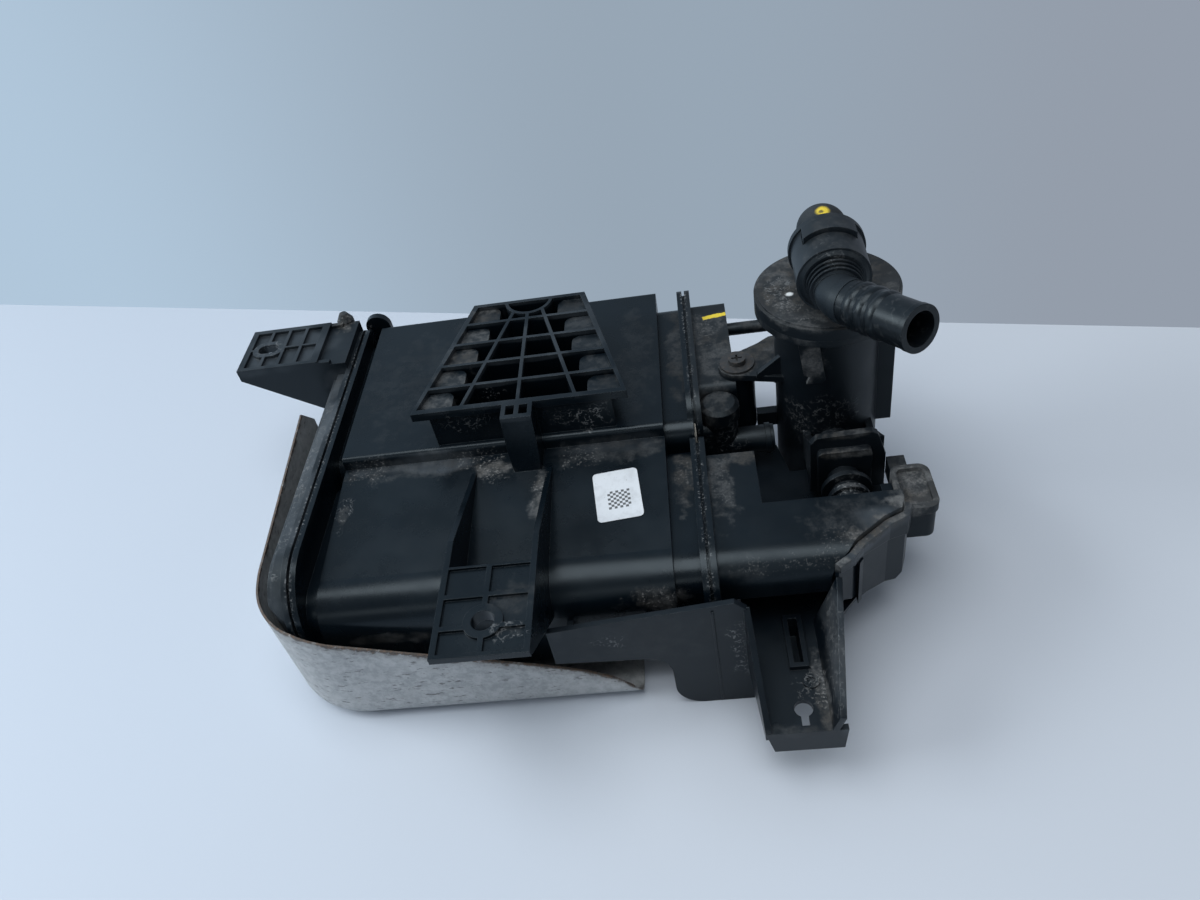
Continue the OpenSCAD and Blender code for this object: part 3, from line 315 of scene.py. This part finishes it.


# kind, centre in mm, half sizes in mm, strength; one kind is painted sheen, a pale bluish
# reflection on ridges, rims and rib tops, the others are dust, crumbs and scratches
MARKS = {
    "housing": block_marks() + (
        # painted sheen on the lattice's rib tops and along the front lobe's ridge
        ("painted_sheen", (0, 45, 121.5), (90, 80, 2.2), 0.34),
        ("painted_sheen", (-62, -12, 90), (54, 8, 8), 0.62),
        ("film", (-62, -14, 90), (52, 9, 8), 0.22),
        ("painted_sheen", (45, -13, 90), (40, 7, 8), 0.30),
        ("crumbs", (-94, -12, 90), (14, 10, 6), 0.85),
        ("crumbs", (-28, -13, 90), (18, 9, 7), 0.90),
        ("film", (-20, -20, 88), (15, 9, 6), 0.75),
        ("crumbs", (-20, -24, 88), (11, 9, 6), 0.60),
        ("film", (7, -44, 89), (5, 22, 9), 0.70),
        ("crumbs", (6, -38, 90), (5, 12, 8), 0.80),
        ("film", (46, -16, 89), (36, 10, 6), 0.26),
        ("crumbs", (30, -18, 89), (14, 10, 6), 0.75),
        ("scratch", (36, -6, 106), (17, 4, 10), 1.00),
        ("crumbs", (27, -6, 109), (14, 4, 8), 0.60),
        ("scratch", (-32, -6, 112), (20, 4, 8), 0.35),
        ("crumbs", (-16, 13, 116), (7, 5, 6), 0.90),
        ("film", (86, -32, 80), (8, 26, 5), 0.55),
        ("crumbs", (86, -30, 80), (7, 16, 4), 0.35),
        ("film", (87, 70, 88), (8, 56, 5), 0.34),
        ("film", (68, -104, 68), (20, 6, 8), 0.50),
        ("crumbs", (68, -105, 69), (19, 5, 8), 0.80),
        ("film", (-103, -44, 87), (4, 10, 4), 0.34),
        ("scratch", (-103, -42, 87), (5, 14, 5), 0.90),
        ("film", (-70, -106, 58), (30, 4, 5), 0.40),
        ("scratch", (3, -142, 106), (10, 7, 3), 0.55),
        ("film", (4, -128, 106), (12, 16, 3), 0.18),
        ("film", (62, 50, 97), (14, 60, 4), 0.10),
        ("film", (-70, 60, 97), (50, 60, 4), 0.07),
    ),
    "left_cap": (
        # painted sheen along the cap's rounded rim and on the rear arm
        ("painted_sheen", (-131, 10, 92), (16, 110, 14), 0.75),
        ("painted_sheen", (-131, -70, 80), (16, 50, 22), 0.70),
        ("film", (-131, 20, 94), (9, 90, 9), 0.22),
        ("scratch", (-132, -20, 90), (10, 90, 16), 0.55),
        ("crumbs", (-132, 118, 106), (8, 10, 7), 0.85),
        ("film", (-132, 118, 106), (9, 12, 8), 0.70),
        ("painted_sheen", (-165, 97, 105), (44, 34, 6), 0.34),
        ("scratch", (-178, 98, 107), (14, 9, 4), 0.55),
    ),
    "port_cover": (
        ("film", (108, 68, 91), (15, 48, 5), 0.48),
        ("crumbs", (103, 84, 91), (9, 22, 4), 0.45),
        ("film", (104, 20, 84), (14, 18, 10), 0.42),
        ("scratch", (112, 8, 66), (12, 5, 16), 0.60),
        ("film", (138, 94, 82), (20, 6, 5), 0.45),
    ),
    "drain_cover": (
        ("film", (104, -40, 83), (9, 36, 5), 0.44),
        ("crumbs", (105, -44, 83), (7, 22, 5), 0.25),
        ("film", (118, -26, 83), (9, 8, 4), 0.50),
        ("film", (166, -80, 83), (26, 20, 6), 0.18),
        ("film", (168, -87, 80), (9, 8, 6), 0.90),
        ("film", (179, -79, 81), (10, 8, 5), 0.90),
        ("film", (190, -71, 82), (9, 8, 4), 0.90),
        # painted sheen by the S-shaped rim
        ("painted_sheen", (179, -79, 82), (16, 12, 4), 0.45),
        ("crumbs", (158, -90, 82), (14, 10, 6), 0.35),
        ("crumbs", (128, -99, 78), (36, 6, 6), 0.28),
        ("film", (110, -98, 76), (16, 8, 10), 0.12),
        ("film", (189, -58, 76), (8, 14, 10), 0.70),
    ),
    "filter_can": (
        ("film", (138, 50, 95), (22, 20, 5), 0.66),
        ("film", (121, 39, 95), (14, 14, 4), 0.60),
        ("film", (159, 5, 117), (10, 4, 18), 0.85),
        ("scratch", (166, 6, 76), (26, 12, 14), 0.35),
        ("scratch", (152, 14, 68), (12, 12, 16), 0.35),
        ("crumbs", (153, 14, 68), (11, 11, 14), 0.35),
        ("film", (172, -24, 75), (17, 5, 4), 0.95),
        ("film", (174, -19, 85), (20, 5, 3), 0.50),
        ("film", (172, -46, 70), (13, 16, 5), 0.60),
        ("scratch", (172, -40, 68), (12, 8, 6), 0.90),
        ("film", (172, 36, 134), (44, 44, 5), 0.34),
    ),
    "filter_lid": (
        ("film", (166, 34, 144), (60, 60, 5), 0.62),
        ("crumbs", (152, 20, 144), (12, 10, 3), 0.55),
        ("crumbs", (158, 8, 144), (8, 5, 3), 0.55),
        ("scratch", (146, 34, 144), (12, 18, 3), 0.55),
        ("film", (172, 54, 180), (14, 14, 6), 0.16),
    ),
    "connector_body": (
        ("film", (172, 12, 186), (22, 34, 8), 0.16),
        ("scratch", (166, 4, 184), (10, 14, 6), 0.35),
    ),
    "connector_lock": (("film", (171, 25, 189), (16, 8, 4), 0.20),),
    "valve_body": (
        ("film", (204, -46, 67), (22, 30, 6), 1.00),
        ("crumbs", (206, -38, 67), (9, 9, 3), 0.50),
    ),
    "valve_socket": (("film", (201, -24, 63), (8, 9, 3), 0.45),),
    "guard_bracket": (
        ("film", (158, -101, 79), (7, 6, 5), 1.00),
        ("film", (165, -94, 79), (7, 7, 5), 1.00),
        ("film", (175, -85, 79), (10, 8, 5), 1.00),
        ("film", (188, -76, 79), (9, 6, 5), 1.00),
        ("film", (195, -69, 79), (5, 7, 5), 0.90),
        # painted sheen by the S-shaped rim
        ("painted_sheen", (176, -84, 79), (32, 28, 6), 0.50),
        ("crumbs", (172, -87, 79), (20, 18, 4), 0.55),
        # painted sheen on the leg's right wall
        ("painted_sheen", (150, -138, 58), (7, 42, 26), 0.50),
        ("scratch", (150, -138, 58), (7, 42, 26), 0.45),
        ("film", (149, -136, 56), (6, 34, 20), 0.22),
        ("film", (141, -145, 38), (5, 26, 5), 0.70),
        ("crumbs", (139, -142, 39), (9, 16, 4), 0.85),
        ("scratch", (136, -139, 39), (10, 9, 3), 0.60),
        ("film", (131, -165, 37), (20, 4, 4), 0.22),
        ("scratch", (105, -122, 45), (7, 4, 22), 1.00),
        ("scratch", (41, -122, 60), (12, 4, 5), 0.60),
        ("film", (60, -122, 62), (50, 4, 22), 0.08),
    ),
}

# nodes with a weld seam, its places along X and its half width in mm
SEAMS = {"housing": (94, -119), "left_cap": (-119,), "port_cover": (94,), "drain_cover": (94,)}
SEAM_HALF = 2.6

# paint marks, in mm: a stroke's centre, direction, half length and half width
STROKE_ON_BLOCK = ((112.2, 95.1, 91), (14.2, 2.4, 0), 7.4, 1.7)
# centre and half sizes
RING_OUTSIDE = ((172.0, 50.4, 181), (4.4, 4.6, 8))
RING_INSIDE = ((171.0, 50.0, 181), (1.7, 1.7, 8))
DOT = ((151.4, 32.4, 144), (2.6, 2.2, 2))
RING_RAGGEDNESS = 0.5
RING_CLEARED = 0.8
DOT_RAGGEDNESS = 1.2


def stroke_on_block(g, ragged):
    top = g.fade(g.upward(), 0.3, 0.8)
    return g.times(top, g.bar(*STROKE_ON_BLOCK, ragged))


def ring_on_elbow(g, ragged):
    outside = g.patch(*RING_OUTSIDE, ragged, RING_RAGGEDNESS)
    inside = g.patch(*RING_INSIDE, ragged, RING_RAGGEDNESS)
    return g.math("SUBTRACT", outside, g.times(inside, RING_CLEARED), clamp=True)


def dot_on_lid(g, ragged):
    return g.patch(*DOT, ragged, DOT_RAGGEDNESS)


PAINTS = {
    "port_cover": ((PAINT_YELLOW, stroke_on_block),),
    "filter_lid": ((PAINT_WHITE, dot_on_lid), (PAINT_YELLOW, ring_on_elbow)),
}

# base colour, roughness and share of dust on all upward faces
PLASTICS = {
    "housing": (BLACK, 0.25, 0.010),
    "left_cap": (BLACK, 0.32, 0.05),
    "port_cover": (BLACK, 0.38, 0.10),
    "drain_cover": (BLACK, 0.30, 0.02),
    "filter_can": (FILTER_BLACK, 0.38, 0.05),
    "filter_lid": (FILTER_BLACK, 0.46, 0.24),
    "connector_body": (CONNECTOR_BLACK, 0.42, 0.05),
    "connector_lock": (CONNECTOR_BLACK, 0.42, 0.06),
    "valve_body": (FILTER_BLACK, 0.46, 0.42),
    "valve_socket": (BLACK, 0.42, 0.15),
    "guard_bracket": (GUARD_BLACK, 0.31, 0.02),
    "rear_pressure_plate": (GUARD_BLACK, 0.50, 0.0),
    "front_pressure_plate": (GUARD_BLACK, 0.50, 0.0),
}
PLASTIC_GLOSS = 0.31
PLASTIC_TINT = (0.80, 0.93, 1.0)

# how much the clouds lighten the base colour, and take from and add to the roughness
CLOUD_GAIN = 1.5
SMOOTHER = 0.05
ROUGHER = 0.10

# largest share of pale colour in worn edges, which also carry a painted highlight, crumbs,
# scratches, pinhead specks and seam flecks
EDGE_WEAR_AND_HIGHLIGHT_SHARE = 0.11
CRUMB_SHARE = 0.6
SCRATCH_SHARE = 0.8
PIN_SHARE = 0.7
FLECK_SHARE = 0.6


def add_plastic(node):
    """Moulded black plastic: cloudy sheen, pale edges that are worn and carry a painted highlight,
    a painted bluish sheen, dust, crumbs, scratches and paint.
    """
    colour, roughness, dusting = PLASTICS[node]
    marks = MARKS.get(node, ())
    g = Surface(f"{node}_plastic")
    cloud = g.noise(24, 3)
    blotch = g.noise(85, 6, 0.62)
    ragged = g.noise(160, 4, 0.6)
    speck = g.noise(800, 3, 0.6)
    up = g.fade(g.upward(), 0.3, 0.95)

    tone = g.mix(g.fade(cloud, 0.3, 0.7), colour, tuple(CLOUD_GAIN * c for c in colour))
    # pale edges: wear, and a highlight painted where rounded edges catch the light
    wear_and_edge_highlight = g.times(g.edges(0.6), g.fade(g.noise(210, 4), 0.40, 0.66), EDGE_WEAR_AND_HIGHLIGHT_SHARE)
    tone = g.mix(wear_and_edge_highlight, tone, SCUFF)

    # painted sheen: a pale bluish reflection painted into the colour, in streaks
    painted_sheen = g.settled(marks, "painted_sheen", cloud)
    if painted_sheen is not None:
        streak = g.fade(g.noise(60, 4, 0.6, (1.0, 0.35, 1.0)), 0.30, 0.66, 0.36, 0.8)
        tone = g.mix(g.times(painted_sheen, streak), tone, PAINTED_SHEEN)

    dust = g.times(up, g.fade(blotch, 0.28, 0.75, 0.35, 1.0), dusting)
    film = g.settled(marks, "film", blotch)
    if film is not None:
        thickness = g.fade(ragged, 0.36, 0.60, 0.25, 1.0)
        film = g.times(film, thickness, g.fade(speck, 0.30, 0.62, 0.5, 1.0))
        dust = g.most(dust, film)
    dirt = g.mix(g.fade(g.noise(42, 3), 0.42, 0.62), DUST, MUD)
    tone = g.mix(dust, tone, dirt)

    height = g.times(dust, 0.4)
    crumbs = g.settled(marks, "crumbs", blotch)
    if crumbs is not None:
        crumbs = g.times(crumbs, g.fade(g.noise(640, 4, 0.7), 0.56, 0.64))
        tone = g.mix(g.times(crumbs, CRUMB_SHARE), tone, CRUMB)
        height = g.most(height, crumbs)
    scratch = g.settled(marks, "scratch", blotch)
    if scratch is not None:
        line = g.most(g.hairlines(150, 0.024), g.hairlines(230, 0.034))
        tone = g.mix(g.times(scratch, line, SCRATCH_SHARE), tone, SCUFF)

    pin = g.cells(70)
    pin_size = g.fade(g.split(pin.outputs["Color"], 0), 0.88, 1.0, 0.0, 0.035)
    pins = g.math("LESS_THAN", pin.outputs["Distance"], pin_size)
    tone = g.mix(g.times(pins, up, PIN_SHARE), tone, CRUMB)

    for seam in SEAMS.get(node, ()):
        aside = g.math("ABSOLUTE", g.math("SUBTRACT", g.split(g.place, 0), seam * MM))
        near = g.fade(aside, 0.5 * SEAM_HALF * MM, SEAM_HALF * MM, 1.0, 0.0)
        fleck = g.times(near, g.fade(speck, 0.53, 0.62))
        tone = g.mix(g.times(fleck, g.fade(blotch, 0.40, 0.60), FLECK_SHARE), tone, SCUFF)

    for paint, place in PAINTS.get(node, ()):
        tone = g.mix(place(g, ragged), tone, paint)

    sheen = g.math("ADD", cloud, g.times(blotch, 0.5))
    rough = g.fade(sheen, 0.45, 1.05, roughness - SMOOTHER, roughness + ROUGHER)
    rough = g.math("ADD", rough, g.times(dust, 0.6), clamp=True)
    g.relief((g.noise(30, 2), 0.05), (g.noise(2600, 2), 0.012), (height, 0.06))
    return g.finish(tone, rough, gloss=PLASTIC_GLOSS, tint=PLASTIC_TINT)


def add_rubber():
    """Smooth black rubber with a faint bloom on top and a few hairlines."""
    g = Surface("hose_rubber")
    blotch = g.noise(110, 5, 0.6)
    up = g.fade(g.upward(), -0.1, 0.9)
    bloom = g.times(up, g.fade(blotch, 0.40, 0.72), 0.035)
    tone = g.mix(bloom, RUBBER, DUST)
    tone = g.mix(g.times(g.hairlines(140, 0.03), 0.08), tone, SCUFF)
    g.relief((g.noise(120, 3), 0.05), (g.noise(900, 3), 0.02))
    rough = g.fade(blotch, 0.3, 0.7, 0.31, 0.38)
    return g.finish(tone, rough, gloss=PLASTIC_GLOSS, tint=PLASTIC_TINT)


# upper edge of the shield's left wall: height at its front, Y from which it rises, slope
LEFT_RIM_Z = 0.075
LEFT_RIM_Y = -0.076
LEFT_RIM_SLOPE = 0.123
# upper edge of its front wall, the lowest of these lines: height at X = 0 and slope
FRONT_RIM = ((0.0385, -0.31), (0.0437, -0.571), (0.0788, -1.4))
# X where the left wall ends and the front wall begins
RIM_TURN_X = -0.121

# how far rust and stain reach down from the rim, and how much these depths waver, in mm
RUST_REACH = (0.4, 2.4)
STAIN_REACH = (1.0, 9.0)
RIM_WOBBLE = 9.0


def below_rim(g):
    """Depth below the upper edge of the shield's left and front walls."""
    x, y, z = (g.split(g.place, axis) for axis in range(3))
    rise = g.most(g.math("SUBTRACT", y, LEFT_RIM_Y), 0.0)
    left = g.math("ADD", g.times(rise, LEFT_RIM_SLOPE), LEFT_RIM_Z)
    front = None
    for height, slope in FRONT_RIM:
        line = g.math("ADD", g.times(x, slope), height)
        front = line if front is None else g.math("MINIMUM", front, line)
    side = g.math("LESS_THAN", x, RIM_TURN_X)
    top = g.math("ADD", front, g.times(side, g.math("SUBTRACT", left, front)))
    return g.math("SUBTRACT", top, z)


def add_shield():
    """Coated sheet: pale mottled grey with dark nicks, rubbed and rusty towards its rim."""
    g = Surface("coated_sheet")
    blotch = g.noise(46, 6, 0.62)
    mottle = g.noise(260, 5, 0.68)
    grain = g.noise(900, 3, 0.6)
    tone = g.mix(g.fade(mottle, 0.34, 0.66), SHEET_GREY, SHEET_PALE)
    tone = g.mix(g.fade(blotch, 0.48, 0.72, 0.0, 0.5), tone, SHEET_BARE)
    nick = g.noise(330, 4, 0.6, (0.45, 0.45, 1.6))
    tone = g.mix(g.fade(nick, 0.60, 0.68, 0.0, 0.72), tone, SHEET_NICK)
    stain = g.fade(g.noise(130, 6, 0.7), 0.58, 0.74, 0.0, 0.45)
    tone = g.mix(stain, tone, SHEET_STAIN)
    wobble = g.times(g.math("SUBTRACT", mottle, 0.5), RIM_WOBBLE * MM)
    depth = g.math("ADD", below_rim(g), wobble)
    rim = g.fade(depth, *metres(RUST_REACH), 1.0, 0.0)
    tone = g.mix(g.fade(depth, *metres(STAIN_REACH), 0.35, 0.0), tone, SHEET_STAIN)
    rust = g.mix(g.fade(grain, 0.45, 0.6), RUST_DARK, RUST_BROWN)
    tone = g.mix(g.times(rim, 0.9), tone, rust)
    g.relief((g.noise(24, 3), 0.40), (mottle, 0.07), (grain, 0.02), edge_mm=0.3)
    return g.finish(tone, g.fade(mottle, 0.3, 0.7, 0.48, 0.68), 0.2)


def add_steel():
    """Dull steel with brown blotches."""
    g = Surface("dull_steel")
    blotch = g.noise(340, 5, 0.65)
    rust = g.fade(blotch, 0.48, 0.66)
    tone = g.mix(g.times(rust, 0.8), STEEL, STEEL_RUST)
    metal = g.fade(rust, 0.2, 0.9, 0.7, 0.1)
    g.relief((g.noise(1500, 3), 0.03), (rust, 0.03), edge_mm=0.3)
    return g.finish(tone, g.fade(blotch, 0.3, 0.7, 0.42, 0.78), metal)


# plain chequered block on the label: centre, turn in degrees, half size and square, in mm
CHEQUER_PLACE = (50.6, -51.0, 86.1)
CHEQUER_TURN = 5.6
CHEQUER_HALF = 6.0
CHEQUER_SQUARE = 1.5


def chequer(g):
    """1 on the dark squares of a plain chequered block."""
    offset = g.vector("SUBTRACT", g.place, metres(CHEQUER_PLACE))
    turn = Matrix.Rotation(radians(CHEQUER_TURN), 3, "Z")
    across = g.vector("DOT_PRODUCT", offset, tuple(turn @ Vector((1, 0, 0))))
    along = g.vector("DOT_PRODUCT", offset, tuple(turn @ Vector((0, 1, 0))))
    inside = None
    odd = None
    for reach in (across, along):
        near = g.math("LESS_THAN", g.math("ABSOLUTE", reach), CHEQUER_HALF * MM)
        from_edge = g.math("ADD", reach, CHEQUER_HALF * MM)
        count = g.math("FLOOR", g.math("DIVIDE", from_edge, CHEQUER_SQUARE * MM))
        inside = near if inside is None else g.times(inside, near)
        odd = count if odd is None else g.math("ADD", odd, count)
    return g.times(inside, g.math("LESS_THAN", g.math("FLOORED_MODULO", odd, 2.0), 0.5))


def add_label():
    """White film label, a little grey and rubbed, with a plain chequered block."""
    g = Surface("label_film")
    blotch = g.noise(150, 5, 0.62)
    tone = g.mix(g.fade(blotch, 0.42, 0.70, 0.0, 0.6), LABEL_WHITE, LABEL_GREY)
    tone = g.mix(g.times(g.edges(0.9), 0.3), tone, LABEL_EDGE)
    tone = g.mix(g.fade(g.noise(900, 3), 0.66, 0.76, 0.0, 0.5), tone, MUD)
    tone = g.mix(g.times(chequer(g), 0.9), tone, LABEL_INK)
    g.relief((g.noise(90, 3), 0.03), (g.noise(1800, 2), 0.008), edge_mm=0.15)
    return g.finish(tone, g.fade(blotch, 0.3, 0.7, 0.34, 0.5))


def add_carbon():
    """Black granules."""
    g = Surface("carbon_granules")
    grain = g.cells(520).outputs["Distance"]
    tone = g.mix(g.fade(grain, 0.1, 0.7), CARBON_GRAIN, CARBON_GAP)
    g.relief((grain, 0.9), edge_mm=0.4)
    return g.finish(tone, g.fade(grain, 0.0, 0.8, 0.55, 0.9))


def add_felt():
    """Pale felt with fibres that lie along Y."""
    g = Surface("felt")
    fibre = g.noise(900, 5, 0.7, (1.0, 0.35, 1.0))
    tone = g.mix(g.fade(fibre, 0.3, 0.7), FELT_DARK, FELT_PALE)
    g.relief((fibre, 0.15), edge_mm=0.3)
    return g.finish(tone, 0.95)


def dress():
    """A finish on every node: plastics one by one, the rest by the record's material."""
    shared = {
        "rubber": add_rubber(),
        "steel": add_steel(),
        "coated_sheet": add_shield(),
        "carbon": add_carbon(),
        "felt": add_felt(),
        "label": add_label(),
    }
    for part in frame["record"]["subparts"]:
        name = part["node"]
        slots = nodes[name].data.materials
        slots.clear()
        slots.append(add_plastic(name) if name in PLASTICS else shared[part["material_slot"]])


# folds sharper than this stay crisp
SHARP_ANGLE = radians(28)


def smooth(mesh):
    """Shade round faces as round."""
    mesh.shade_smooth()
    mesh.set_sharp_from_angle(angle=SHARP_ANGLE)


# dark blind pocket under the slot in the leg's floor, put there as painted shade so the slot reads
# dark

# centre in mm, and faces round each corner
POCKET_X = 132.25
POCKET_Y = -116.5
CORNER_STEPS = 5
# half width, half length, corner radius and height in mm,
# from the inner floor over the rim to the underside
POCKET_SECTIONS = (
    (1.9, 12.6, 0.7, 26.2),
    (2.35, 13.1, 0.8, 35.1),
    (3.4, 14.2, 1.7, 35.1),
    (3.0, 13.7, 1.5, 25.8),
    (2.4, 13.1, 1.0, 25.2),
)


def rounded_loop(form, half_x, half_y, radius, z):
    """Corners of a rounded rectangle about the pocket's centre, counter-clockwise."""
    loop = []
    for quarter, (side_x, side_y) in enumerate(((1, 1), (-1, 1), (-1, -1), (1, -1))):
        for step in range(CORNER_STEPS + 1):
            turn = (quarter + step / CORNER_STEPS) * pi / 2
            x = POCKET_X + side_x * (half_x - radius) + radius * cos(turn)
            y = POCKET_Y + side_y * (half_y - radius) + radius * sin(turn)
            loop.append(form.verts.new(metres((x, y, z))))
    return loop


def add_slot_shade_pocket():
    """The pocket's shell, closed at its floor and open at its rim, a dark piece standing in for
    the shade in the slot.
    """
    form = bmesh.new()
    loops = [rounded_loop(form, *section) for section in POCKET_SECTIONS]
    for near, far in zip(loops, loops[1:]):
        for here in range(len(near)):
            there = (here + 1) % len(near)
            form.faces.new((near[here], near[there], far[there], far[here]))
    form.faces.new(loops[0])
    form.faces.new(loops[-1])
    bmesh.ops.recalc_face_normals(form, faces=form.faces)
    mesh = bpy.data.meshes.new("leg_slot_shade_pocket")
    form.to_mesh(mesh)
    form.free()
    smooth(mesh)
    pocket = bpy.data.objects.new("leg_slot_shade_pocket", mesh)
    scene.collection.objects.link(pocket)
    mesh.materials.append(nodes["guard_bracket"].data.materials[0])
    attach(pocket, "root")


# table, wall and light

# painted light on the table: its colours at its left and right, lighter to the right to soften the
# lamps' falloff, and the X of each
TABLE_PAINTED_LIGHT_COLOURS = ((0.462, 0.520, 0.600), (0.535, 0.570, 0.620))
TABLE_PAINTED_LIGHT_FADE = (-0.45, 0.55)
TABLE_DRIFT = 0.3
TABLE_ROUGHNESS = 0.6

# a point on its far edge, that edge's direction, and the reach to each side and to the front
EDGE_POINT = Vector((0.0233, 0.2423, 0.0))
EDGE_ALONG = Vector((0.971, -0.239, 0.0)).normalized()
TABLE_REACH = 4.0
TABLE_DEPTH = 5.0

# light of the room, and of the wall behind the table at its left, middle and right
ROOM = (0.213, 0.234, 0.260)
WALL_LEFT = (0.440, 0.571, 0.708)
WALL_MIDDLE = (0.310, 0.382, 0.462)
WALL_RIGHT = (0.296, 0.337, 0.402)

# directions between which the wall changes, as sideways over away
LEFT_TO_MIDDLE = (-0.80, -0.05)
MIDDLE_TO_RIGHT = (0.0, 0.5)
LEAST_AWAY = 0.05
# how far a direction points away where the wall sets in, and up where it ends
WALL_START = (0.15, 0.45)
WALL_TOP = (0.78, 0.90)

# name, place, size, power and colour, all aimed at one point of the canister
LAMPS = (
    ("window", (-2.1, 0.0, 1.3), (1.5, 1.1), 43.0, (0.92, 0.97, 1.0)),
    ("overhead", (-0.1, -0.18, 1.7), (1.6, 0.95), 20.0, (0.94, 0.97, 1.0)),
    ("front", (-0.3, -1.7, 0.9), (1.2, 0.4), 1.5, (0.95, 0.98, 1.0)),
)
LAMP_AIM = Vector((0.03, -0.02, 0.06))


def add_table():
    """Flat sheet under the canister that ends in a straight far edge, painted lighter towards the
    right to soften the lamps' falloff.
    """
    left = EDGE_POINT - TABLE_REACH * EDGE_ALONG
    right = EDGE_POINT + TABLE_REACH * EDGE_ALONG
    front = Vector((0.0, -TABLE_DEPTH, 0.0))
    mesh = bpy.data.meshes.new("table")
    mesh.from_pydata((left + front, right + front, right, left), (), ((0, 1, 2, 3),))
    sheet = bpy.data.objects.new("table", mesh)
    scene.collection.objects.link(sheet)
    g = Surface("table")
    drift = g.times(g.math("SUBTRACT", g.noise(3.0, 2), 0.5), TABLE_DRIFT)
    # painted light: the colour grows lighter from left to right
    share = g.fade(g.math("ADD", g.split(g.place, 0), drift), *TABLE_PAINTED_LIGHT_FADE)
    mesh.materials.append(g.finish(g.mix(share, *TABLE_PAINTED_LIGHT_COLOURS), TABLE_ROUGHNESS))


def add_room():
    """Plain room light, with a brighter wall beyond the table's far edge."""
    world = bpy.data.worlds.new("room")
    g = Graph(world)
    ahead = g.add("ShaderNodeTexCoord").outputs["Generated"]
    aside, away, above = (g.split(ahead, axis) for axis in range(3))
    slope = g.math("DIVIDE", aside, g.most(away, LEAST_AWAY))
    wall = g.mix(g.fade(slope, *LEFT_TO_MIDDLE), WALL_LEFT, WALL_MIDDLE)
    wall = g.mix(g.fade(slope, *MIDDLE_TO_RIGHT), wall, WALL_RIGHT)
    share = g.times(g.fade(away, *WALL_START), g.fade(above, *WALL_TOP, 1.0, 0.0))
    background = g.tree.nodes["Background"]
    g.feed(background.inputs["Color"], g.mix(share, ROOM, wall))
    scene.world = world


def add_lamp(name, place, size, power, colour):
    data = bpy.data.lights.new(name, "AREA")
    data.shape = "RECTANGLE"
    data.size, data.size_y = size
    data.energy = power
    data.color = colour
    lamp = bpy.data.objects.new(name, data)
    scene.collection.objects.link(lamp)
    lamp.location = place
    aim = LAMP_AIM - Vector(place)
    lamp.rotation_euler = aim.to_track_quat("-Z", "Y").to_euler()


add_camera()
for node in nodes.values():
    smooth(node.data)
dress()
# dark pocket that stands in for the shade in the leg's slot
add_slot_shade_pocket()
add_table()
add_room()
for lamp in LAMPS:
    add_lamp(*lamp)
